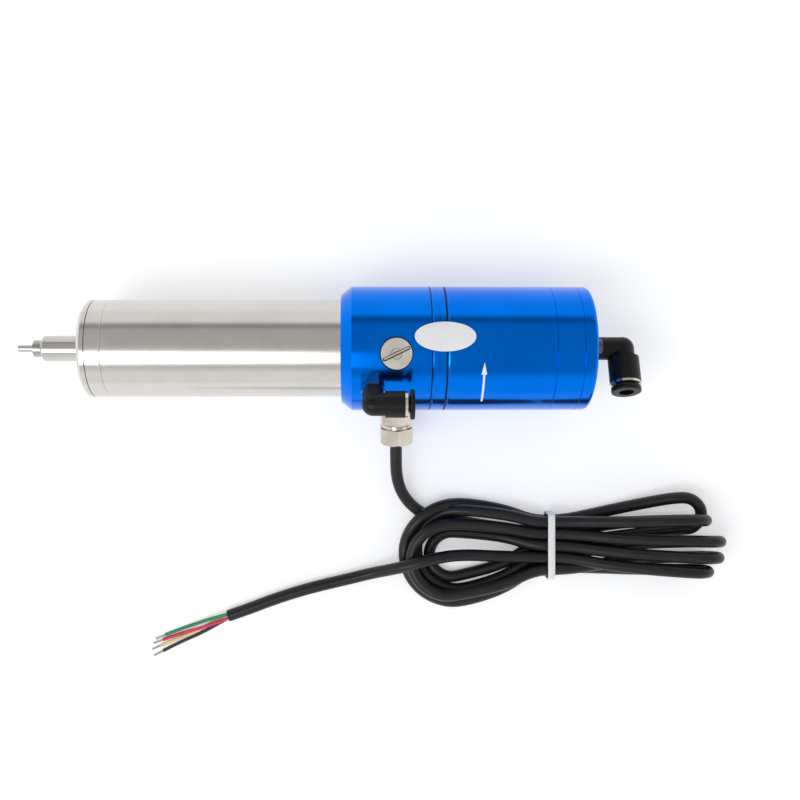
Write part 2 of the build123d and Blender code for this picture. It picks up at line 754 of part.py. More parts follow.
# ---------------------------------------------------------------------------- service plug
with BuildPart() as service_plug:
    with BuildSketch(plug_plane.offset(plug_end)):
        Circle(plug_thread_radius)
    extrude(amount=plug_top - plug_end)
    with BuildSketch(plug_plane.offset(plug_seat + plug_washer_thickness)):
        Circle(plug_radius)
    extrude(amount=plug_head_length)
    plug_rims = service_plug.edges().filter_by(GeomType.CIRCLE).group_by(SortBy.RADIUS)[-1]
    chamfer(plug_rims.sort_by_distance(plug_plane.offset(outside).origin)[0], seam_chamfer)
    with BuildSketch(plug_plane.offset(plug_top)):
        SlotOverall(plug_slot_length, plug_slot_width, rotation=plug_slot_turn)
    extrude(amount=-plug_slot_depth, mode=Mode.SUBTRACT)
    with BuildSketch(plug_plane.offset(plug_top)):
        Circle(plug_dimple_radius)
    extrude(amount=-plug_dimple_depth, mode=Mode.SUBTRACT)

with BuildPart() as plug_washer:
    with BuildSketch(plug_plane.offset(plug_seat)):
        Circle(plug_radius)
        Circle(plug_thread_radius, mode=Mode.SUBTRACT)
    extrude(amount=plug_washer_thickness)

# ---------------------------------------------------------------------------- cable gland
gland_hex_start = gland_seat + gland_washer_thickness
gland_hex_end = gland_hex_start + gland_hex_length
gland_collar_start = gland_hex_end + gland_neck_length
gland_collar_end = gland_collar_start + gland_collar_length
gland_nut_start = gland_collar_end + gland_nut_gap
gland_tip = gland_nut_start + gland_nut_length
gland_nut_bore_end = gland_nut_start + gland_nut_bore_length
gland_neck_end = gland_nut_bore_end - gland_neck_gap
cord_hole_radius = cord_radius + cord_hole_clearance


def port_disc(plane, start, end, radius):
    """A round stretch of a fitting, between two distances from the spindle axis."""
    with BuildSketch(plane.offset(start)) as disc:
        Circle(radius)
    extrude(disc.sketch, amount=end - start)


with BuildPart() as gland_washer:
    port_disc(gland_plane, gland_seat, gland_hex_start, gland_hex / 2)
    port_hole(gland_plane, gland_seat, gland_hex_start, gland_thread_radius)

with BuildPart() as gland_body:
    port_disc(gland_plane, gland_seat - gland_thread_length, gland_hex_start, gland_thread_radius)
    with BuildSketch(gland_plane.offset(gland_hex_start)):
        hexagon(gland_hex, gland_turn)
    extrude(amount=gland_hex_length)
    port_disc(gland_plane, gland_hex_end, gland_neck_end, gland_neck_radius)
    port_disc(gland_plane, gland_collar_start, gland_collar_end, gland_hex / 2)
    port_hole(gland_plane, gland_seat - gland_thread_length, gland_neck_end, gland_bore_radius)

with BuildPart() as gland_nut:
    with BuildSketch(gland_plane.offset(gland_nut_start)):
        hexagon(gland_nut_hex, gland_turn)
    extrude(amount=gland_nut_length)
    nut_corner = gland_nut_hex / sqrt(3)
    round_start = (nut_corner, gland_tip - gland_nut_round)
    round_end = (nut_corner - gland_nut_round, gland_tip)
    with BuildSketch(Plane(gland_plane.origin, gland_plane.x_dir, -gland_plane.y_dir)):
        with BuildLine():
            Polyline((0, gland_nut_start), (nut_corner, gland_nut_start), round_start)
            RadiusArc(round_start, round_end, -gland_nut_round)
            Polyline(round_end, (0, gland_tip), (0, gland_nut_start))
        make_face()
    revolve(axis=Axis(gland_plane.origin, gland_plane.z_dir), mode=Mode.INTERSECT)
    port_hole(gland_plane, gland_nut_start, gland_nut_bore_end, gland_neck_radius)
    port_hole(gland_plane, gland_nut_start, gland_tip, cord_hole_radius)

with BuildPart() as gland_seal:
    port_disc(gland_plane, gland_neck_end - gland_seal_length, gland_nut_bore_end, gland_bore_radius)


# ---------------------------------------------------------------------------- push-in elbows
def elbow_stud(stem, hex_flats, hex_length, thread_radius, thread_length, journal_radius, journal_end,
               air_radius):
    """The threaded stud that the elbow turns on: thread, hexagon and journal, bored through."""
    with BuildPart() as stud:
        with BuildSketch(stem.offset(-thread_length)):
            Circle(thread_radius)
        extrude(amount=thread_length)
        with BuildSketch(stem):
            hexagon(hex_flats)
        extrude(amount=hex_length)
        with BuildSketch(stem.offset(hex_length)):
            Circle(journal_radius)
        extrude(amount=journal_end - hex_length)
        with BuildSketch(stem.offset(-thread_length)):
            Circle(air_radius)
        extrude(amount=journal_end + thread_length, mode=Mode.SUBTRACT)
    return stud


def leg_plane(stem, height):
    """A plane square to the elbow's leg, at the stud's axis, with its Z out along the leg."""
    return Plane(origin=stem.origin + stem.z_dir * height, x_dir=stem.z_dir, z_dir=stem.x_dir)


def elbow_body(stem, height, boss_start, boss_radius, neck_radius, leg_radius, step, length,
               journal_radius, journal_end, tube_radius, tube_depth):
    """The moulded elbow: a boss round the stud, a rounded corner, a leg with a step, and its bores."""
    leg = leg_plane(stem, height)
    mouth_radius = tube_radius + collar_clearance + collar_neck_wall + collar_clearance
    mouth_depth = collar_reach + collar_travel + collar_clearance + collar_end_gap
    with BuildPart() as body:
        with BuildSketch(stem.offset(boss_start)):
            Circle(boss_radius)
        extrude(amount=height - boss_start)
        with BuildSketch(leg):
            Circle(neck_radius)
        extrude(amount=step)
        with Locations(leg):
            Sphere(neck_radius)
        with BuildSketch(leg.offset(step)):
            Circle(leg_radius)
        extrude(amount=length - step)
        with BuildSketch(stem.offset(boss_start)):
            Circle(journal_radius + swivel_clearance)
        extrude(amount=journal_end + swivel_gap - boss_start, mode=Mode.SUBTRACT)
        with BuildSketch(stem.offset(boss_start)):
            Circle(air_passage_radius)
        extrude(amount=height - boss_start, mode=Mode.SUBTRACT)
        with BuildSketch(leg):
            Circle(air_passage_radius)
        extrude(amount=length, mode=Mode.SUBTRACT)
        with BuildSketch(leg.offset(length - mouth_depth - tube_depth)):
            Circle(tube_radius)
        extrude(amount=tube_depth + mouth_depth, mode=Mode.SUBTRACT)
        with BuildSketch(leg.offset(length - mouth_depth)):
            Circle(mouth_radius)
        extrude(amount=mouth_depth, mode=Mode.SUBTRACT)
    return body


def elbow_ring(stem, height, length, leg_radius, tube_radius):
    """The bright band at the end of the leg."""
    with BuildPart() as ring:
        with BuildSketch(leg_plane(stem, height).offset(length)):
            Circle(leg_radius - end_ring_setback)
            Circle(tube_radius + 2 * collar_clearance + collar_neck_wall, mode=Mode.SUBTRACT)
        extrude(amount=end_ring_length)
    return ring


def release_collar(stem, height, length, collar_radius, collar_length, tube_radius):
    """The push-in release collar: a flange outside the leg and a neck inside it."""
    flange_start = length + end_ring_length + collar_travel + collar_gap
    leg = leg_plane(stem, height)
    with BuildPart() as collar:
        with BuildSketch(leg.offset(length - collar_reach)):
            Circle(tube_radius + collar_clearance + collar_neck_wall)
        extrude(amount=flange_start - length + collar_reach)
        with BuildSketch(leg.offset(flange_start)):
            Circle(collar_radius)
        extrude(amount=collar_length)
        rims = collar.edges().filter_by(GeomType.CIRCLE).sort_by(SortBy.RADIUS)[-2:]
        fillet(rims, collar_round)
        with BuildSketch(leg.offset(length - collar_reach)):
            Circle(tube_radius + collar_clearance)
        extrude(amount=flange_start + collar_length - length + collar_reach, mode=Mode.SUBTRACT)
    return collar


front_stem = port_plane(barrel_rear + front_elbow_station, front_elbow_angle, front_seat)
front_journal_end = front_leg_height - front_tube_radius - swivel_gap - passage_wall
front_boss_start = front_stud_hex_length + swivel_gap
front_elbow_stud = elbow_stud(front_stem, front_stud_hex, front_stud_hex_length, front_stud_thread_radius,
                              front_stud_thread_length, front_stud_journal_radius, front_journal_end,
                              front_stud_air_radius)
front_elbow_body = elbow_body(front_stem, front_leg_height, front_boss_start, front_boss_radius,
                              front_neck_radius, front_leg_radius, front_step, front_body_length,
                              front_stud_journal_radius, front_journal_end,
                              front_tube_radius, front_tube_depth)
front_elbow_ring = elbow_ring(front_stem, front_leg_height, front_body_length, front_leg_radius,
                              front_tube_radius)
front_release_collar = release_collar(front_stem, front_leg_height, front_body_length,
                                      front_collar_radius, front_collar_length, front_tube_radius)

rear_leg_direction = Vector(0, -cos(radians(rear_leg_tilt)), sin(radians(rear_leg_tilt)))
rear_stem = Plane(origin=(end_rear, 0, 0), x_dir=rear_leg_direction, z_dir=(1, 0, 0))
rear_journal_end = rear_leg_height - rear_tube_radius - swivel_gap - passage_wall
rear_boss_start = rear_stud_hex_length + swivel_gap
rear_elbow_stud = elbow_stud(rear_stem, rear_stud_hex, rear_stud_hex_length, rear_stud_thread_radius,
                             rear_stud_thread_length, rear_stud_journal_radius, rear_journal_end,
                             rear_stud_air_radius)
rear_elbow_body = elbow_body(rear_stem, rear_leg_height, rear_boss_start, rear_boss_radius,
                             rear_neck_radius, rear_leg_radius, rear_step, rear_body_length,
                             rear_stud_journal_radius, rear_journal_end,
                             rear_tube_radius, rear_tube_depth)
rear_elbow_ring = elbow_ring(rear_stem, rear_leg_height, rear_body_length, rear_leg_radius,
                             rear_tube_radius)
rear_release_collar = release_collar(rear_stem, rear_leg_height, rear_body_length, rear_collar_radius,
                                     rear_collar_length, rear_tube_radius)

# ---------------------------------------------------------------------------- cord
floor_line = floor_level + cord_radius
cord_start = gland_plane.offset(gland_nut_bore_end).origin
cord_straight_end = gland_plane.offset(gland_tip + cord_straight_length).origin
lead_points = [
    cord_start,
    cord_straight_end,
    Vector(74.6, -54.1, -16.0),
    Vector(76.4, -61.0, -19.6),
    Vector(80.0, -66.8, -22.2),
    Vector(86.3, -72.3, floor_line),
]
tail_points = [
    Vector(80.8, -93.9, -18.4),
    Vector(73.2, -95.8, -20.8),
    Vector(64.0, -98.1, -22.8),
    Vector(52.8, -101.0, floor_line),
    Vector(40.6, -103.7, floor_line),
    Vector(29.4, -106.7, floor_line),
    Vector(18.7, -110.2, floor_line),
    Vector(9.7, -113.6, floor_line),
    Vector(0.8, -116.6, floor_line),
]
core_level = floor_level + core_radius
core_points = {
    "core_green": [Vector(0.5, -115.7, -22.2), Vector(-6.2, -117.5, -23.1), Vector(-12.9, -120.0, -24.6),
                   Vector(-19.6, -122.2, core_level), Vector(-27.2, -125.1, core_level)],
    "core_red": [Vector(1.1, -117.4, -22.2), Vector(-5.2, -119.7, -22.5), Vector(-12.0, -122.0, -22.9),
                 Vector(-19.6, -124.2, core_level), Vector(-28.2, -127.2, core_level)],
    "core_yellow": [Vector(0.5, -115.7, -23.95), Vector(-5.8, -119.1, -24.8),
                    Vector(-12.5, -123.3, core_level),
                    Vector(-19.9, -126.0, core_level), Vector(-28.8, -129.6, core_level)],
    "core_black": [Vector(1.1, -117.4, -23.95), Vector(-5.3, -121.2, -24.7),
                   Vector(-12.5, -125.0, core_level),
                   Vector(-20.1, -128.1, core_level), Vector(-28.1, -132.1, core_level)],
}


def corner_radii(points):
    """For each corner, a set share of the shorter run over the tangent of half the turn."""
    radii = []
    for before, corner, after in zip(points, points[1:], points[2:]):
        turn = radians((corner - before).get_angle(after - corner))
        shorter = min((corner - before).length, (after - corner).length)
        radii.append(corner_share * shorter / tan(turn / 2))
    return radii


def cord_tube(label, points, radius):
    """A round tube along straight runs joined by tangent arcs."""
    radii = corner_radii(points)
    with BuildPart() as tube:
        with BuildLine() as path:
            FilletPolyline(*points, radius=radii)
        with BuildSketch(Plane(origin=path.line @ 0, z_dir=path.line % 0)):
            Circle(radius)
        sweep(path=path.line)
    length = sum(edge.length for edge in path.edges())
    tightest = min(radii) / (2 * radius)
    ratio = tube.part.volume / (pi * radius**2 * length)
    print(f"{label}: {length:.1f} mm, tightest bend {tightest:.1f} diameters, volume ratio {ratio:.4f}")
    return tube


cord_lead = cord_tube("cord_lead", lead_points, cord_radius)
cord_tail = cord_tube("cord_tail", tail_points, cord_radius)
cores = {name: cord_tube(name, points, core_radius) for name, points in core_points.items()}

tie_middle = (sum(tie_edges) / 2, floor_level + hank_height / 2)
tie_reach = max(tie_edges) - min(tie_edges)
with BuildPart() as cord_tie:
    with BuildSketch(Plane.YZ.offset(tie_station - tie_width / 2)):
        with Locations(tie_middle):
            Rectangle(tie_reach, hank_height)
            Rectangle(tie_reach - 2 * tie_thickness, hank_height - 2 * tie_thickness, mode=Mode.SUBTRACT)
    extrude(amount=tie_width)

with BuildPart() as cord_hank:
    with BuildSketch(Plane.XY.offset(floor_level)) as hank_outline:
        with BuildLine():
            Polyline((142.6, -71.7), (118.5, -66.4))
            ThreePointArc((118.5, -66.4), (76.4, -86.4), (114.4, -111.9))
            Polyline((114.4, -111.9), (142.6, -100.5), (169.4, -98.4), (207.2, -101.5))
            ThreePointArc((207.2, -101.5), (219.4, -86.9), (209.3, -73.1))
            ThreePointArc((209.3, -73.1), (191.9, -67.0), (171.5, -69.2))
            Polyline((171.5, -69.2), (142.6, -71.7))
        make_face()
        fillet(hank_outline.vertices(), hank_corner)
    extrude(amount=hank_height)
    fillet(cord_hank.edges().group_by(Axis.Z)[-1], cord_radius)
    with BuildSketch(Plane.YZ.offset(tie_station - tie_width / 2)):
        with Locations(tie_middle):
            Rectangle(2 * tie_reach, 2 * hank_height)
            Rectangle(tie_reach - 2 * tie_thickness, hank_height - 2 * tie_thickness, mode=Mode.SUBTRACT)
    extrude(amount=tie_width, mode=Mode.SUBTRACT)

# ---------------------------------------------------------------------------- pieces
pieces = {
    "front_cap": front_cap,
    "front_bearing_housing": front_bearing_housing,
    "barrel_sleeve": barrel_sleeve,
    "outer_bearing_spacer": outer_bearing_spacer,
    "inner_bearing_spacer": inner_bearing_spacer,
    "front_outer_rings": front_outer_rings,
    "front_inner_rings": front_inner_rings,
    "front_balls": front_balls,
    "front_cages": front_cages,
    "rear_bearing_housing": rear_bearing_housing,
    "preload_spring": preload_spring,
    "rear_outer_ring": rear_outer_ring,
    "rear_inner_ring": rear_inner_ring,
    "rear_balls": rear_balls,
    "rear_cage": rear_cage,
    "bearing_lock_nuts": bearing_lock_nuts,
    "stator_core": stator_core,
    "stator_windings": stator_windings,
    "rotor_magnet": rotor_magnet,
    "balance_rings": balance_rings,
    "shaft": shaft,
    "collet": collet,
    "tool_shank": tool_shank,
    "drawbar": drawbar,
    "release_nut": release_nut,
    "disc_springs": disc_springs,
    "connection_block": connection_block,
    "cylinder_plate": cylinder_plate,
    "cylinder_body": cylinder_body,
    "centre_plate": centre_plate,
    "cylinder_head": cylinder_head,
    "cylinder_seals": cylinder_seals,
    "end_cap": end_cap,
    "end_cap_screws": end_cap_screws,
    "piston_rod": piston_rod,
    "release_pistons": release_pistons,
    "piston_seals": piston_seals,
    "return_springs": return_springs,
    "service_plug": service_plug,
    "plug_washer": plug_washer,
    "gland_washer": gland_washer,
    "gland_body": gland_body,
    "gland_nut": gland_nut,
    "gland_seal": gland_seal,
    "front_elbow_stud": front_elbow_stud,
    "front_elbow_body": front_elbow_body,
    "front_elbow_ring": front_elbow_ring,
    "front_release_collar": front_release_collar,
    "rear_elbow_stud": rear_elbow_stud,
    "rear_elbow_body": rear_elbow_body,
    "rear_elbow_ring": rear_elbow_ring,
    "rear_release_collar": rear_release_collar,
    "cord_lead": cord_lead,
    "cord_hank": cord_hank,
    "cord_tail": cord_tail,
    "cord_tie": cord_tie,
}
pieces.update(cores)

for name, piece in pieces.items():
    piece.part.label = name
    export_step(piece.part, f"parts/{name}.step")
print(len(pieces), "pieces")
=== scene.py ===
import json
from math import cos, pi, radians, sin

import bmesh
import bpy
from mathutils import Matrix, Vector


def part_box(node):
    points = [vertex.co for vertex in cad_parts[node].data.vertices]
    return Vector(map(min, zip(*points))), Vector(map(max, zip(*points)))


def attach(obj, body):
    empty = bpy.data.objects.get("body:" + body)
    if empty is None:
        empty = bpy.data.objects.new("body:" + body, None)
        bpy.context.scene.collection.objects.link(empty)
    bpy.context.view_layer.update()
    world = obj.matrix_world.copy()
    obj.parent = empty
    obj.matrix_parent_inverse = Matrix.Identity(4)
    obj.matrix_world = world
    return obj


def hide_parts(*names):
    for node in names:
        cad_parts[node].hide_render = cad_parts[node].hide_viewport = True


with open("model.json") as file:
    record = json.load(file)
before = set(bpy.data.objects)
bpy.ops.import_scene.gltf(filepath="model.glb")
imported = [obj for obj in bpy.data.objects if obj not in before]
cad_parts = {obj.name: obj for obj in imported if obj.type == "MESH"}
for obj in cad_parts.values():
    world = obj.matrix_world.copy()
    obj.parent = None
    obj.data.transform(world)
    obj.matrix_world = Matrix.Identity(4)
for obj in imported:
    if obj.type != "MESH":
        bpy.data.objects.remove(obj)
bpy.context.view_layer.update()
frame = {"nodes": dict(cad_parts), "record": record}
nodes = frame["nodes"]
MM = 0.001

# ---------------------------------------------------------------- sizes taken from the frame
housing_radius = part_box("cylinder_body")[1].z
floor_z = -housing_radius

# ---------------------------------------------------------------- camera, looking down
camera_place = Vector((0.0597, -0.0180, 0.3940))
tilt, lean, roll = radians(-0.51), radians(-2.313), radians(-0.124)
camera_data = bpy.data.cameras.new("camera")
camera_data.sensor_width = 36.0
camera_data.lens = 42.43
camera = bpy.data.objects.new("camera", camera_data)
bpy.context.scene.collection.objects.link(camera)
camera.matrix_world = (Matrix.Translation(camera_place) @ Matrix.Rotation(tilt, 4, "X")
                       @ Matrix.Rotation(lean, 4, "Y") @ Matrix.Rotation(roll, 4, "Z"))
bpy.context.scene.camera = camera


# ---------------------------------------------------------------- materials
def material(name):
    """A new material with its principled shader."""
    mat = bpy.data.materials.new(name)
    mat.use_nodes = True
    return mat, mat.node_tree, mat.node_tree.nodes["Principled BSDF"]


def node(tree, kind, **settings):
    """A node of the tree: attributes by name, and sockets by the names in values."""
    made = tree.nodes.new(kind)
    for key, value in settings.pop("values", {}).items():
        made.inputs[key].default_value = value
    for key, value in settings.items():
        setattr(made, key, value)
    return made


# A Mix node's colour sockets, which share their names with its other kinds.
FIRST_COLOUR, SECOND_COLOUR, MIXED_COLOUR = 6, 7, 2


def object_coordinates(tree, scale=(1, 1, 1)):
    """Object coordinates in metres, stretched by scale."""
    coordinates = node(tree, "ShaderNodeTexCoord")
    mapping = node(tree, "ShaderNodeMapping")
    mapping.inputs["Scale"].default_value = scale
    tree.links.new(coordinates.outputs["Object"], mapping.inputs["Vector"])
    return mapping.outputs["Vector"]


def noise(tree, vector, scale, detail=3.0, roughness=0.5):
    texture = node(tree, "ShaderNodeTexNoise", values={"Scale": scale, "Detail": detail,
                                                       "Roughness": roughness})
    tree.links.new(vector, texture.inputs["Vector"])
    return texture.outputs["Fac"]


def spread(tree, value, low, high, source_low=0.3, source_high=0.7):
    """A value moved to the range from low to high."""
    mapped = node(tree, "ShaderNodeMapRange", values={"From Min": source_low, "From Max": source_high,
                                                      "To Min": low, "To Max": high})
    tree.links.new(value, mapped.inputs["Value"])
    return mapped.outputs["Result"]


def two_tones(tree, value, first, second):
    """A colour between two tones, by a value from 0 to 1."""
    mix = node(tree, "ShaderNodeMix", data_type="RGBA")
    tree.links.new(value, mix.inputs["Factor"])
    mix.inputs[FIRST_COLOUR].default_value = (*first, 1)
    mix.inputs[SECOND_COLOUR].default_value = (*second, 1)
    return mix.outputs[MIXED_COLOUR]


def bump(tree, shader, height, strength, distance):
    made = node(tree, "ShaderNodeBump", values={"Strength": strength, "Distance": distance})
    tree.links.new(height, made.inputs["Height"])
    tree.links.new(made.outputs["Normal"], shader.inputs["Normal"])


def turned_metal(name, light, dark, roughness, spacing=0.00012, depth=0.000002, ring_share=0.6):
    """Metal turned or brushed round the X axis: fine rings of tone, roughness and height."""
    mat, tree, shader = material(name)
    rings = noise(tree, object_coordinates(tree, (1 / spacing, 30, 30)), 1.0, 2.0)
    patches = noise(tree, object_coordinates(tree, (60, 60, 60)), 1.0, 4.0)
    tone = node(tree, "ShaderNodeMath", operation="ADD")
    tree.links.new(spread(tree, rings, 0.0, ring_share), tone.inputs[0])
    tree.links.new(spread(tree, patches, 0.0, 1 - ring_share), tone.inputs[1])
    tree.links.new(two_tones(tree, tone.outputs[0], dark, light), shader.inputs["Base Color"])
    tree.links.new(spread(tree, rings, roughness * (1 - 0.25 * ring_share),
                          roughness * (1 + 0.35 * ring_share)),
                   shader.inputs["Roughness"])
    shader.inputs["Metallic"].default_value = 1.0
    bump(tree, shader, rings, 0.5 * ring_share, depth)
    return mat


def plain_metal(name, light, dark, roughness, grain=0.0004):
    """Metal with a fine even grain: plated, ground, blasted or cast."""
    mat, tree, shader = material(name)
    vector = object_coordinates(tree)
    fine = noise(tree, vector, 1 / grain, 3.0)
    broad = noise(tree, vector, 90.0, 4.0)
    tree.links.new(two_tones(tree, spread(tree, broad, 0.0, 1.0), dark, light), shader.inputs["Base Color"])
    tree.links.new(spread(tree, broad, roughness * 0.8, roughness * 1.3), shader.inputs["Roughness"])
    shader.inputs["Metallic"].default_value = 1.0
    bump(tree, shader, fine, 0.15, 0.000004)
    return mat


def plastic(name, light, dark, roughness, grain=0.0003, depth=0.000006, specular=0.5):
    """Moulded plastic or rubber with a fine skin and a slightly uneven sheen."""
    mat, tree, shader = material(name)
    vector = object_coordinates(tree)
    fine = noise(tree, vector, 1 / grain, 2.0)
    broad = noise(tree, vector, 140.0, 4.0, 0.6)
    tree.links.new(two_tones(tree, spread(tree, broad, 0.0, 1.0), dark, light), shader.inputs["Base Color"])
    tree.links.new(spread(tree, broad, roughness * 0.85, roughness * 1.2), shader.inputs["Roughness"])
    shader.inputs["Specular IOR Level"].default_value = specular
    bump(tree, shader, fine, 0.2, depth)
    return mat


def blue_anodising():
    """Satin blue anodising on turned aluminium: deep colour, fine rings, faint patches."""
    mat, tree, shader = material("blue_anodised")
    rings = noise(tree, object_coordinates(tree, (1 / 0.00015, 20, 20)), 1.0, 2.0)
    patches = noise(tree, object_coordinates(tree, (45, 45, 45)), 1.0, 4.0)
    tree.links.new(two_tones(tree, spread(tree, patches, 0.0, 1.0), (0.0, 0.160, 0.76), (0.0, 0.182, 0.82)),
                   shader.inputs["Base Color"])
    tree.links.new(spread(tree, rings, 0.16, 0.20), shader.inputs["Roughness"])
    shader.inputs["Metallic"].default_value = 1.0
    bump(tree, shader, rings, 0.15, 0.000001)
    return mat


finishes = {
    "stainless": turned_metal("stainless", (0.67, 0.645, 0.61), (0.60, 0.575, 0.54), 0.20, 0.0003,
                              0.000001, 0.2),
    "bearing_steel": turned_metal("bearing_steel", (0.75, 0.75, 0.77), (0.62, 0.62, 0.64), 0.18),
    "cage_resin": plastic("cage_resin", (0.40, 0.22, 0.09), (0.30, 0.16, 0.06), 0.5),
    "plain_steel": turned_metal("plain_steel", (0.50, 0.50, 0.52), (0.38, 0.38, 0.40), 0.35),
    "spring_steel": plain_metal("spring_steel", (0.32, 0.32, 0.35), (0.22, 0.22, 0.25), 0.38),
    "laminations": turned_metal("laminations", (0.32, 0.32, 0.34), (0.14, 0.14, 0.15), 0.5, 0.0006,
                                0.00002),
    "copper": plain_metal("copper", (0.72, 0.33, 0.14), (0.52, 0.20, 0.08), 0.4, 0.0008),
    "magnet": plain_metal("magnet", (0.22, 0.22, 0.24), (0.15, 0.15, 0.17), 0.45),
    "brass": turned_metal("brass", (0.80, 0.62, 0.30), (0.66, 0.48, 0.20), 0.28),
    "shaft_steel": turned_metal("shaft_steel", (0.62, 0.60, 0.57), (0.52, 0.50, 0.47), 0.20, 0.0002,
                                0.000001, 0.3),
    "collet_steel": turned_metal("collet_steel", (0.46, 0.45, 0.43), (0.36, 0.35, 0.33), 0.26, 0.0002,
                                 0.000001, 0.3),
    "tool_steel": turned_metal("tool_steel", (0.60, 0.59, 0.57), (0.50, 0.49, 0.47), 0.20, 0.0002,
                               0.000001, 0.3),
    "blue_anodised": blue_anodising(),
    "plain_aluminium": turned_metal("plain_aluminium", (0.80, 0.80, 0.80), (0.66, 0.66, 0.66), 0.32),
    "seal_rubber": plastic("seal_rubber", (0.03, 0.03, 0.03), (0.018, 0.018, 0.018), 0.55),
    "screw_steel": plain_metal("screw_steel", (0.14, 0.14, 0.15), (0.08, 0.08, 0.09), 0.35),
    "plug_steel": plain_metal("plug_steel", (0.62, 0.58, 0.53), (0.48, 0.44, 0.40), 0.36, 0.0002),
    "nickel_plate": plain_metal("nickel_plate", (0.74, 0.68, 0.60), (0.60, 0.54, 0.47), 0.16),
    "black_nylon": plastic("black_nylon", (0.008, 0.008, 0.009), (0.005, 0.005, 0.006), 0.34,
                           specular=0.22),
    "cord_jacket": plastic("cord_jacket", (0.012, 0.012, 0.013), (0.007, 0.007, 0.008), 0.36, 0.0005,
                           specular=0.36),
    "white_tie": plastic("white_tie", (0.86, 0.87, 0.88), (0.78, 0.79, 0.80), 0.4),
    "core_green": plastic("core_green", (0.02, 0.30, 0.12), (0.01, 0.20, 0.07), 0.35),
    "core_red": plastic("core_red", (0.70, 0.03, 0.10), (0.55, 0.02, 0.06), 0.35),
    "core_yellow": plastic("core_yellow", (0.80, 0.68, 0.32), (0.70, 0.55, 0.22), 0.35),
    "core_black": plastic("core_black", (0.02, 0.02, 0.02), (0.01, 0.01, 0.01), 0.35),
}
white_vinyl = plastic("white_vinyl", (0.86, 0.87, 0.88), (0.80, 0.81, 0.82), 0.35)
white_print = plastic("white_print", (0.85, 0.87, 0.88), (0.75, 0.77, 0.80), 0.5)
# Painted shade: a dark blue for the shade inside the housing's grooves and in the gap round the plug.
painted_gap_shade = plastic("painted_gap_shade", (0.003, 0.012, 0.075), (0.001, 0.006, 0.045), 0.5, specular=0.2)
# Painted shade: a dark brown-grey for the shade along thin seams and the edges of the plug's slot and
# dimples.
painted_shade_lines = plastic("painted_shade_lines", (0.075, 0.062, 0.050), (0.035, 0.030, 0.026), 0.5, specular=0.2)
tinned_copper = plain_metal("tinned_copper", (0.72, 0.70, 0.66), (0.50, 0.48, 0.45), 0.3, 0.0003)

for part in frame["record"]["subparts"]:
    mesh = nodes[part["node"]].data
    mesh.materials.clear()
    mesh.materials.append(finishes[part["material_slot"]])


# ---------------------------------------------------------------- helpers for new pieces
def link(name, data, body="housing", slot=None, finish=None):
    """A new object on a body, with its finish."""
    made = bpy.data.objects.new(name, data)
    bpy.context.scene.collection.objects.link(made)
    data.materials.append(finish or finishes[slot])
    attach(made, body)
    return made


def smooth(data, angle=radians(35)):
    for face in data.polygons:
        face.use_smooth = True
    data.set_sharp_from_angle(angle=angle)


def spline_curve(name, points, radius, resolution=5):
    """One open NURBS spline through the route's points, as a round cord."""
    data = bpy.data.curves.new(name, "CURVE")
    data.dimensions = "3D"
    data.bevel_depth = radius
    data.bevel_resolution = 5
    data.resolution_u = resolution
    data.use_fill_caps = True
    spline = data.splines.new("NURBS")
    spline.points.add(len(points) - 1)
    for place, point in zip(spline.points, points):
        place.co = (*point, 1)
    spline.order_u = 3
    spline.use_endpoint_u = True
    return data


# ---------------------------------------------------------------- the cord's route, in millimetres
cord_diameter = 5.2
floor_line = floor_z / MM + cord_diameter / 2
upper_line = floor_line + cord_diameter
tie_x = 142.6
tie_first_y = -75.6
tie_reach = 7.0


def tie_point(column, layer, side):
    """Where a strand goes through the tie: its column from the top, its layer, and the side, -1 is left."""
    return (tie_x + side * tie_reach, tie_first_y - column * cord_diameter,
            floor_line + layer * cord_diameter)


def fold(start, end, tip_x, tip_y, lean, radius=7.6):
    """The cord goes right from the tie, turns over on itself standing on edge, and comes back above."""
    middle_x = tip_x - cord_diameter / 2 - radius
    middle_z = floor_line + radius
    first, last = tie_point(*start, 1), tie_point(*end, 1)
    points = [first, (tie_x + 0.36 * (middle_x - tie_x), first[1] + 0.45 * (tip_y - first[1]), first[2]),
              (tie_x + 0.62 * (middle_x - tie_x), first[1] + 0.85 * (tip_y - first[1]) - lean / 4,
               floor_line)]
    for turn in (-100, -60, -20, 20, 60, 100):
        reach = 1.06 * radius
        points.append((middle_x + reach * cos(radians(turn)), tip_y + lean * (0.5 * sin(radians(turn))),
                       middle_z + reach * sin(radians(turn))))
    points.append((tie_x + 0.45 * (middle_x - tie_x), last[1] + 0.55 * (tip_y - last[1]),
                   (last[2] + middle_z + radius) / 2))
    points.append(last)
    return points


def teardrop(start, end, left_x, top_y, bottom_y, top_z, shoulder_z, left_z, bottom_z):
    """The cord goes left from the tie, widens, turns round the open left end and comes back below."""
    radius = (top_y - bottom_y) / 2
    middle_x, middle_y = left_x + radius, (top_y + bottom_y) / 2
    first, last = tie_point(*start, -1), tie_point(*end, -1)
    points = [first, (middle_x + 0.55 * (tie_x - middle_x), first[1] + 0.62 * (top_y - first[1]), top_z)]
    heights = (top_z, shoulder_z, shoulder_z, left_z, left_z, (left_z + bottom_z) / 2, bottom_z, bottom_z)
    for turn, height in zip((80, 110, 140, 170, 200, 230, 260, 285), heights):
        reach = 1.03 * radius
        points.append((middle_x + reach * cos(radians(turn)), middle_y + reach * sin(radians(turn)),
                       height))
    points.append((middle_x + 0.55 * (tie_x - middle_x), last[1] + 0.62 * (bottom_y - last[1]), bottom_z))
    points.append(last)
    return points


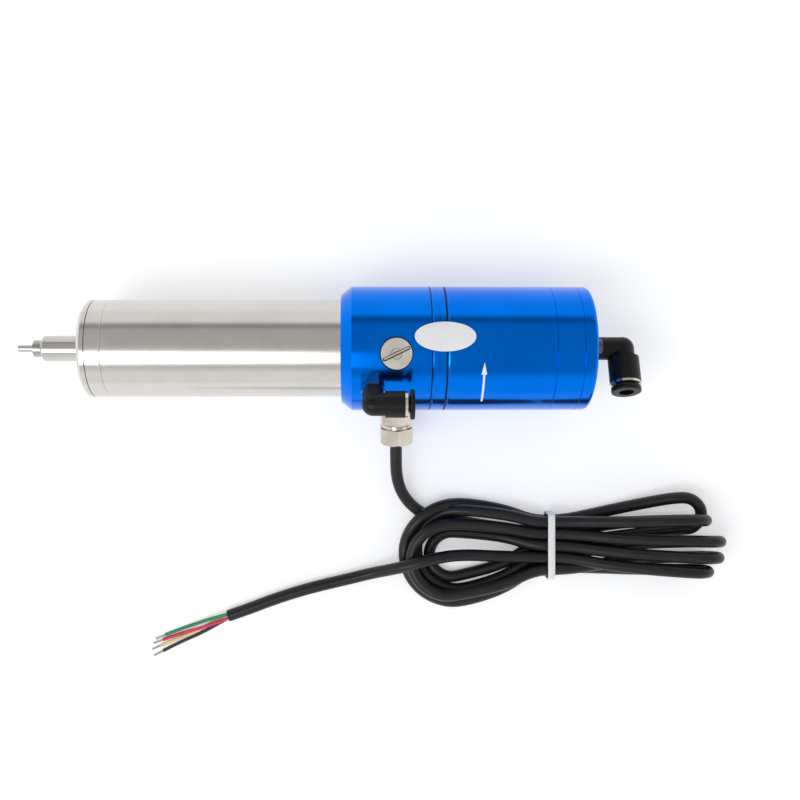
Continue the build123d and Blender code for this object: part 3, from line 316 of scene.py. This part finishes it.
lead_in = [(74.3, -37.1, -10.6), (74.3, -44.8, -12.8), (74.6, -54.1, -16.0),
           (76.4, -61.0, -19.6), (80.0, -66.8, -22.2), (86.3, -72.3, floor_line), (97.1, -74.6, floor_line),
           (117.5, -78.1, floor_line), tie_point(1, 0, -1)]
tail_out = [tie_point(3, 1, -1), (120.5, -90.5, upper_line), (102.1, -89.3, -16.5), (89.9, -90.5, -12.8),
            (80.8, -93.1, -12.9), (72.2, -95.7, -17.0), (64.0, -98.1, -22.0), (52.8, -101.0, floor_line),
            (40.6, -103.7, floor_line), (29.4, -106.7, floor_line), (18.7, -110.2, floor_line),
            (9.7, -113.6, floor_line), (0.8, -116.6, floor_line)]
low, mid, high, top = floor_line, floor_line + 2.6, upper_line, upper_line + 2.6
route = (lead_in
         + fold((1, 0), (0, 1), 213.3, -75.0, 2.0)
         + teardrop((0, 1), (3, 0), 83.7, -70.1, -105.6, high, mid, low, low)
         + fold((3, 0), (1, 1), 219.7, -84.4, 2.5)
         + teardrop((1, 1), (4, 1), 81.3, -75.9, -107.5, high, top, high, high)
         + fold((4, 1), (2, 1), 218.9, -91.4, 2.0)
         + teardrop((2, 1), (2, 0), 89.4, -80.4, -100.1, low, low, low, low)
         + [tie_point(2, 0, 1), (171.6, -82.8, floor_line + 1), (189.7, -80.2, -18.4),
            (200.9, -79.0, -17.2),
            (205.4, -78.9, -17.2), (209.6, -74.7, -17.2), (209.6, -69.6, -17.3), (205.6, -65.5, -17.5),
            (199.6, -65.0, -17.8), (188.9, -67.0, -20.4), (171.7, -70.8, floor_line),
            tie_point(0, 0, 1)]
         + teardrop((0, 0), (4, 0), 78.2, -67.6, -111.1, low, high, low, low)
         + fold((4, 0), (3, 1), 214.3, -97.4, 1.5)
         + tail_out)
cord_data = spline_curve("cord", [Vector(p) * MM for p in route], cord_diameter / 2 * MM)
cord = link("cord", cord_data, slot="cord_jacket")
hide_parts("cord_lead", "cord_hank", "cord_tail")


# ---------------------------------------------------------------- cores, tips, tie
def core_tip(name, start, towards, length=0.0050, radius=0.00042, strands=6):
    """A tinned bundle of strands, twisted, that stands out of a core's insulation."""
    data = bpy.data.meshes.new(name)
    shape = bmesh.new()
    direction = Vector(towards).normalized()
    side = direction.orthogonal().normalized()
    other = direction.cross(side)
    steps, around = 10, 6
    for strand in range(strands):
        rings = []
        for step in range(steps + 1):
            share = step / steps
            angle = 2 * pi * (strand / strands + 0.7 * share)
            out = radius * (0.62 + 0.25 * share)
            middle = Vector(start) + direction * (length * share * (1 - 0.06 * (strand % 3)))
            middle += out * (cos(angle) * side + sin(angle) * other)
            rings.append([shape.verts.new(middle + radius * 0.42 * (cos(2 * pi * k / around) * side
                                                                   + sin(2 * pi * k / around) * other))
                          for k in range(around)])
        for ring, following in zip(rings, rings[1:]):
            for k in range(around):
                shape.faces.new((ring[k], ring[(k + 1) % around], following[(k + 1) % around],
                                 following[k]))
        shape.faces.new(list(reversed(rings[0])))
        shape.faces.new(rings[-1])
    shape.to_mesh(data)
    shape.free()
    smooth(data)
    return link(name, data, finish=tinned_copper)


core_level = floor_z / MM + 0.75
core_routes = {
    "core_green": [(0.5, -115.7, -22.2), (-6.2, -117.5, -23.1), (-12.9, -120.0, -24.6),
                   (-19.6, -122.2, core_level), (-27.2, -125.1, core_level)],
    "core_red": [(1.1, -117.4, -22.2), (-5.2, -119.7, -22.5), (-12.0, -122.0, -22.9),
                 (-19.6, -124.2, core_level), (-28.2, -127.2, core_level)],
    "core_yellow": [(0.5, -115.7, -23.95), (-5.8, -119.1, -24.8), (-12.5, -123.3, core_level),
                    (-19.9, -126.0, core_level), (-28.8, -129.6, core_level)],
    "core_black": [(1.1, -117.4, -23.95), (-5.3, -121.2, -24.7), (-12.5, -125.0, core_level),
                   (-20.1, -128.1, core_level), (-28.1, -132.1, core_level)],
}
for core, points in core_routes.items():
    points = [Vector(p) * MM for p in points]
    wire = link(core + "_wire", spline_curve(core + "_wire", points, 0.00075, 12), slot=core)
    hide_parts(core)
    ending = points[-1] - points[-2]
    core_tip(core + "_tip", points[-1] - ending.normalized() * 0.0004, ending)


def tie_band():
    """The flat tie round the hank, with rounded corners."""
    low_corner, high_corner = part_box("cord_tie")
    width, thick, corner = high_corner.x - low_corner.x, 0.0009, 0.0022
    middle = (low_corner + high_corner) / 2
    data = bpy.data.meshes.new("cord_tie_band")
    shape = bmesh.new()
    outline = []
    half_y, half_z = (high_corner.y - low_corner.y) / 2, (high_corner.z - low_corner.z) / 2
    for quarter, (y, z) in enumerate(((1, 1), (-1, 1), (-1, -1), (1, -1))):
        for step in range(7):
            angle = radians(90 * quarter + 15 * step)
            centre = Vector((0, y * (half_y - corner), z * (half_z - corner)))
            outline.append((centre, Vector((0, cos(angle), sin(angle)))))
    rings = []
    for x, inset in ((-0.5, 0.00015), (-0.42, 0), (0.42, 0), (0.5, 0.00015)):
        rings.append([shape.verts.new(Vector((x * width, 0, 0)) + centre + out * (corner - inset))
                      for centre, out in outline])
    for x, inset in ((0.5, thick - 0.00015), (0.42, thick), (-0.42, thick), (-0.5, thick - 0.00015)):
        rings.append([shape.verts.new(Vector((x * width, 0, 0)) + centre + out * (corner - inset))
                      for centre, out in outline])
    count = len(outline)
    for index, ring in enumerate(rings):
        following = rings[(index + 1) % len(rings)]
        for k in range(count):
            shape.faces.new((ring[k], following[k], following[(k + 1) % count], ring[(k + 1) % count]))
    bmesh.ops.translate(shape, vec=middle, verts=shape.verts)
    bmesh.ops.recalc_face_normals(shape, faces=shape.faces)
    shape.to_mesh(data)
    shape.free()
    smooth(data)
    return link("cord_tie_band", data, slot="white_tie")


tie = tie_band()
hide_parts("cord_tie")


# ---------------------------------------------------------------- fine trim of grooves, seams and the plug, with painted shade
def turned_ring(name, profile, finish, segments=160):
    """A thin ring round the spindle's axis, from a profile of (along, radius)."""
    data = bpy.data.meshes.new(name)
    shape = bmesh.new()
    loops = [[shape.verts.new((x, radius * sin(2 * pi * k / segments), radius * cos(2 * pi * k / segments)))
              for k in range(segments)] for x, radius in profile]
    for first, second in zip(loops, loops[1:]):
        for k in range(segments):
            shape.faces.new((first[k], second[k], second[(k + 1) % segments], first[(k + 1) % segments]))
    bmesh.ops.recalc_face_normals(shape, faces=shape.faces)
    shape.to_mesh(data)
    shape.free()
    smooth(data, radians(25))
    return link(name, data, finish=finish)


block_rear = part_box("connection_block")[1].x
plate_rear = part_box("cylinder_body")[0].x
front_groove_width, rear_groove_width = 0.0006, 0.0009
trim_sink = 0.0001
# Each groove gets a dark floor of painted shade, sunk just under the surface, and a raised blue edge.
for name, front, rear, edge in (("front_groove", block_rear, block_rear + front_groove_width, 0.00035),
                                ("rear_groove", plate_rear - rear_groove_width, plate_rear, 0.00045)):
    sunk = housing_radius - trim_sink
    turned_ring(name + "_painted_shade", [(front, sunk), (rear, sunk)], painted_gap_shade)
    turned_ring(name + "_edge", [(rear - trim_sink, sunk), (rear + edge, housing_radius + 0.00008),
                                 (rear + edge + 0.0002, housing_radius)], finishes["blue_anodised"])
barrel_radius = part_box("barrel_sleeve")[1].z
front_flange_length = 0.0062
cap_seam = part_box("barrel_sleeve")[0].x - front_flange_length
seam_half, seam_foot, seam_rise = 0.00012, 0.0002, 0.00001
# A thin dark ring of painted shade along the seam of the front cap.
turned_ring("cap_seam", [(cap_seam - seam_foot, barrel_radius - trim_sink),
                         (cap_seam - seam_half, barrel_radius + seam_rise),
                         (cap_seam + seam_half, barrel_radius + seam_rise),
                         (cap_seam + seam_foot, barrel_radius - trim_sink)], painted_shade_lines)

plug_x, plug_turn, slot_turn = 0.0733, radians(7.2), radians(26)
slot_half_length, slot_half_width, slot_edge = 0.005225, 0.00045, 0.00032
dimple_radius, dimple_edge, dimple_reach = 0.0021, 0.00016, radians(66)
plug_top, plug_radius, hole_radius = 0.02535, 0.0064, 0.0068
plug_place = (Matrix.Translation((plug_x, 0, 0)) @ Matrix.Rotation(plug_turn, 4, "X"))


def plug_strip(name, inner, outer, finish, closed=True):
    """A thin strip in the plug's own frame, between two rows of points."""
    data = bpy.data.meshes.new(name)
    shape = bmesh.new()
    rows = [[shape.verts.new(plug_place @ Vector(point)) for point in row] for row in (inner, outer)]
    count = len(inner)
    for k in range(count if closed else count - 1):
        shape.faces.new((rows[0][k], rows[1][k], rows[1][(k + 1) % count], rows[0][(k + 1) % count]))
    bmesh.ops.recalc_face_normals(shape, faces=shape.faces)
    if sum((face.normal.z for face in shape.faces)) < 0:
        bmesh.ops.reverse_faces(shape, faces=shape.faces)
    shape.to_mesh(data)
    shape.free()
    smooth(data)
    return link(name, data, finish=finish)


def circle(radius, height, count=96, start=0.0, stop=2 * pi, closed=True):
    """Points on a circle or an arc; height is a number, or gives one for the place across the housing."""
    steps = count if closed else count - 1
    points = []
    for k in range(count):
        turn = start + (stop - start) * k / steps
        across = radius * sin(turn)
        points.append((radius * cos(turn), across, height(across) if callable(height) else height))
    return points


def slot_outline(half_length, radius, height):
    """The plug's slot: two runs and two round ends, turned as the slot is."""
    points = []
    for end, first in ((1, -90), (-1, 90)):
        for step in range(13):
            turn = radians(first + 15 * step)
            u, v = end * half_length + radius * cos(turn), radius * sin(turn)
            points.append((u * cos(slot_turn) - v * sin(slot_turn),
                           u * sin(slot_turn) + v * cos(slot_turn), height))
    return points


def over_hole(across):
    """How far the housing's surface stands above its axis, at this place across it."""
    return (housing_radius ** 2 - across ** 2) ** 0.5


# Painted shade: dark strips in the gap round the plug and on its rim.
plug_strip("plug_gap_shade", circle(plug_radius, plug_top - 0.0010), circle(hole_radius, plug_top - 0.0010),
           painted_gap_shade)
plug_strip("plug_rim_shade", circle(plug_radius - 0.00022, plug_top + 0.00001), circle(plug_radius,
           plug_top - 0.00018),
           painted_gap_shade)
plug_strip("plug_hole_edge", circle(hole_radius - 0.00014, lambda across: over_hole(across) - 0.0002),
           circle(hole_radius + 0.00012, lambda across: over_hole(across) + 0.00004),
           finishes["blue_anodised"])
# Painted shade: dark strips along the inside of the slot and round the dimples' edges.
plug_strip("plug_slot_shade", slot_outline(slot_half_length, slot_half_width, plug_top - 0.0003),
           slot_outline(slot_half_length, slot_half_width + slot_edge, plug_top - 0.0001), painted_shade_lines)
for number, middle in enumerate((radians(90), radians(270))):
    first, last = middle + slot_turn - dimple_reach, middle + slot_turn + dimple_reach
    plug_strip(f"plug_dimple_shade_{number}",
               circle(dimple_radius, plug_top - 0.00032, 24, first, last, False),
               circle(dimple_radius + dimple_edge, plug_top - 0.00002, 24, first, last, False),
               painted_shade_lines, closed=False)


# ---------------------------------------------------------------- label and arrow on the rear housing
def on_housing(x, around, height):
    """A point over the rear housing: along the axis, round it towards +Y, and out from the metal."""
    angle = around / housing_radius
    out = housing_radius + height
    return Vector((x, out * sin(angle), out * cos(angle)))


def curved_plate(name, outline_at, x_middle, around_middle, thickness, rings=10, points=64):
    """A thin plate bent round the housing; outline_at gives the edge for an angle."""
    data = bpy.data.meshes.new(name)
    shape = bmesh.new()
    top = []
    for ring in range(1, rings + 1):
        share = ring / rings
        top.append([shape.verts.new(on_housing(x_middle + share * outline_at(2 * pi * k / points)[0],
                                               around_middle + share * outline_at(2 * pi * k / points)[1],
                                               thickness * (1 if ring < rings else 0.7)))
                    for k in range(points)])
    centre = shape.verts.new(on_housing(x_middle, around_middle, thickness))
    edge = [shape.verts.new(on_housing(x_middle + outline_at(2 * pi * k / points)[0],
                                       around_middle + outline_at(2 * pi * k / points)[1], 0.00001))
            for k in range(points)]
    for k in range(points):
        shape.faces.new((centre, top[0][k], top[0][(k + 1) % points]))
    for inner, outer in zip(top, top[1:] + [edge]):
        for k in range(points):
            shape.faces.new((inner[k], outer[k], outer[(k + 1) % points], inner[(k + 1) % points]))
    bmesh.ops.recalc_face_normals(shape, faces=shape.faces)
    shape.to_mesh(data)
    shape.free()
    smooth(data)
    return data


label_x, label_around = 0.0925, radians(8.2) * housing_radius
label_half = (0.0121, 0.0060)
link("blank_label", curved_plate("blank_label", lambda a: (label_half[0] * cos(a), label_half[1] * sin(a)),
                                 label_x, label_around, 0.00010), finish=white_vinyl)


def arrow_mark():
    """The printed arrow for the shaft's turning direction, laid over the housing in narrow bands."""
    data = bpy.data.meshes.new("turn_arrow")
    shape = bmesh.new()
    base_x, base_around = 0.1081, radians(-58.6) * housing_radius
    tip_x, tip_around = 0.1080, radians(-15.0) * housing_radius
    line = Vector((tip_x - base_x, tip_around - base_around))
    along = line.normalized()
    across = Vector((along.y, -along.x))
    half_shaft, half_head, head_length = 0.00042, 0.00115, 0.0050
    neck = line.length - head_length

    def band(distance, half_width):
        made = []
        for offset in (-half_width, 0, half_width):
            place = Vector((base_x, base_around)) + along * distance + across * offset
            made.append(shape.verts.new(on_housing(place.x, place.y, 0.00002)))
        return made

    steps = 16
    shaft_bands = [band(neck * step / steps, half_shaft) for step in range(steps + 1)]
    head_bands = [band(neck + head_length * step / steps, half_head * (1 - 0.97 * step / steps))
                  for step in range(steps + 1)]
    for bands in (shaft_bands, head_bands):
        for first, second in zip(bands, bands[1:]):
            for k in range(2):
                shape.faces.new((first[k], second[k], second[k + 1], first[k + 1]))
    bmesh.ops.recalc_face_normals(shape, faces=shape.faces)
    shape.to_mesh(data)
    shape.free()
    smooth(data)
    return link("turn_arrow", data, finish=white_print)


arrow_mark()

# ---------------------------------------------------------------- floor, lamps and world
floor_data = bpy.data.meshes.new("floor")
reach = 3.0
floor_glow = 0.37
floor_data.from_pydata([(-reach, -reach, floor_z), (reach, -reach, floor_z), (reach, reach, floor_z),
                        (-reach, reach, floor_z)], [], [(0, 1, 2, 3)])
floor = bpy.data.objects.new("floor", floor_data)
bpy.context.scene.collection.objects.link(floor)
floor_material, floor_tree, floor_shader = material("floor")
floor_shader.inputs["Base Color"].default_value = (0.80, 0.81, 0.83, 1)
floor_shader.inputs["Roughness"].default_value = 0.9
floor_shader.inputs["Specular IOR Level"].default_value = 0.0
floor_data.materials.append(floor_material)


def seen_rays(tree, kinds):
    """One where the ray is of one of these kinds, and zero elsewhere."""
    path = node(tree, "ShaderNodeLightPath")
    total = path.outputs[kinds[0]]
    for kind in kinds[1:]:
        either = node(tree, "ShaderNodeMath", operation="MAXIMUM")
        tree.links.new(total, either.inputs[0])
        tree.links.new(path.outputs[kind], either.inputs[1])
        total = either.outputs[0]
    return total


floor_white = node(floor_tree, "ShaderNodeMath", operation="MULTIPLY")
floor_tree.links.new(seen_rays(floor_tree, ("Is Camera Ray", "Is Glossy Ray", "Is Transmission Ray")),
                     floor_white.inputs[0])
floor_white.inputs[1].default_value = floor_glow
floor_shader.inputs["Emission Color"].default_value = (1, 1, 1, 1)
floor_tree.links.new(floor_white.outputs[0], floor_shader.inputs["Emission Strength"])


def lamp(name, place, aim, size, size_y, power):
    """A rectangular area lamp that looks at a point."""
    data = bpy.data.lights.new(name, "AREA")
    data.shape = "RECTANGLE"
    data.size, data.size_y = size, size_y
    data.energy = power
    made = bpy.data.objects.new(name, data)
    bpy.context.scene.collection.objects.link(made)
    made.location = place
    made.rotation_mode = "QUATERNION"
    made.rotation_quaternion = (Vector(aim) - Vector(place)).to_track_quat("-Z", "Y")
    return made


# A small key lamp for the shadows, and a long soft box over the barrel on the -Y side, for its highlight.
lamp("key", (-0.40, -0.44, 0.98), (0.06, -0.03, 0), 0.42, 0.42, 1.2)
box_turn, box_distance, box_rear, box_length, box_width = radians(-24), 0.90, 0.04, 1.24, 0.44
box_level = 2.0
box_height = box_distance * cos(box_turn)
box_side = box_distance * sin(box_turn)
lamp("soft_box", (box_rear - box_length / 2, box_side, box_height), (box_rear - box_length / 2, 0, 0),
     box_length, box_width, box_level * pi * box_length * box_width)

# The room: a grey ceiling, with a darker gap beside it towards +Y, and white walls all round up to wall_top.
# It is the same for every ray, and its walls are the white background of low views.
ceiling, wall, gap = 0.55, 1.0, 0.25
wall_top, ceiling_edge = sin(radians(25)), sin(radians(35))
room = ((-90, wall), (-60, wall), (-45, ceiling), (42, ceiling),
        (50, gap), (56, gap), (72, wall), (90, wall))
world = bpy.data.worlds.new("studio")
bpy.context.scene.world = world
world.use_nodes = True
sky = world.node_tree
direction = node(sky, "ShaderNodeSeparateXYZ")
sky.links.new(node(sky, "ShaderNodeTexCoord").outputs["Generated"], direction.inputs[0])
angle = node(sky, "ShaderNodeMath", operation="ARCTAN2")
sky.links.new(direction.outputs["Y"], angle.inputs[0])
sky.links.new(direction.outputs["Z"], angle.inputs[1])
ramp = node(sky, "ShaderNodeValToRGB")
sky.links.new(spread(sky, angle.outputs[0], 0.0, 1.0, -pi / 2, pi / 2), ramp.inputs["Fac"])
stops = ramp.color_ramp.elements
for index, (degrees_from_up, level) in enumerate(room):
    place = (degrees_from_up + 90) / 180
    stop = stops[0] if index == 0 else stops.new(place)
    stop.position = place
    stop.color = (level, level, level, 1)
stops.remove(stops[-1])
above_walls = node(sky, "ShaderNodeMix", data_type="RGBA")
above_walls.inputs[FIRST_COLOUR].default_value = (wall, wall, wall, 1)
sky.links.new(spread(sky, direction.outputs["Z"], 0.0, 1.0, wall_top, ceiling_edge),
              above_walls.inputs["Factor"])
sky.links.new(ramp.outputs["Color"], above_walls.inputs[SECOND_COLOUR])
sky.links.new(above_walls.outputs[MIXED_COLOUR], sky.nodes["Background"].inputs["Color"])

bpy.context.scene.view_settings.view_transform = "Standard"
